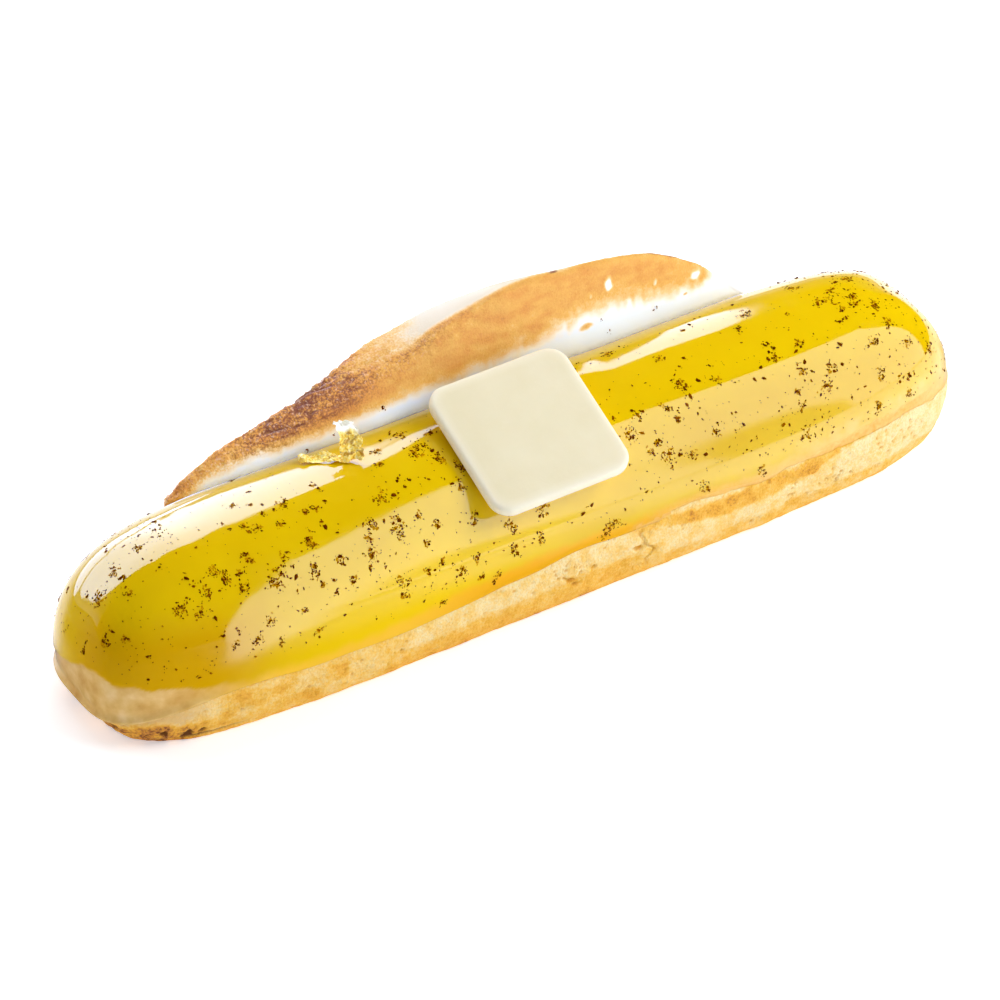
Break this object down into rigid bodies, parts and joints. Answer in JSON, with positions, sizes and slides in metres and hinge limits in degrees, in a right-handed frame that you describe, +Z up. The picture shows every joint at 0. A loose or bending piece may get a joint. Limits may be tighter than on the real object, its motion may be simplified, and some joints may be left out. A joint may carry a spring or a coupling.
{
  "type": "glazed eclair",
  "caption": "Finger of choux pastry with a glossy yellow glaze, a torched meringue crest along its back, a flat chocolate plaque and gold leaf.",
  "frame": {"origin": "middle of the whole object's box in X and Y, at the height of its flat foot", "axes": "+X along the eclair towards the picture's right end, +Y to the back where the meringue stands, +Z up"},
  "size_m": [0.1502, 0.0362, 0.039],
  "materials": {
    "choux": "baked golden pastry, porous and matt",
    "glaze": "glossy yellow glaze with dark specks",
    "meringue": "white meringue, torched golden to brown",
    "plaque": "ivory white chocolate, satin",
    "gold_leaf": "crumpled gold foil"
  },
  "bodies": {
    "root": {"choux": "choux", "glaze": "glaze", "meringue": "meringue", "plaque": "plaque", "gold_leaf": "gold_leaf"}
  },
  "joints": []
}
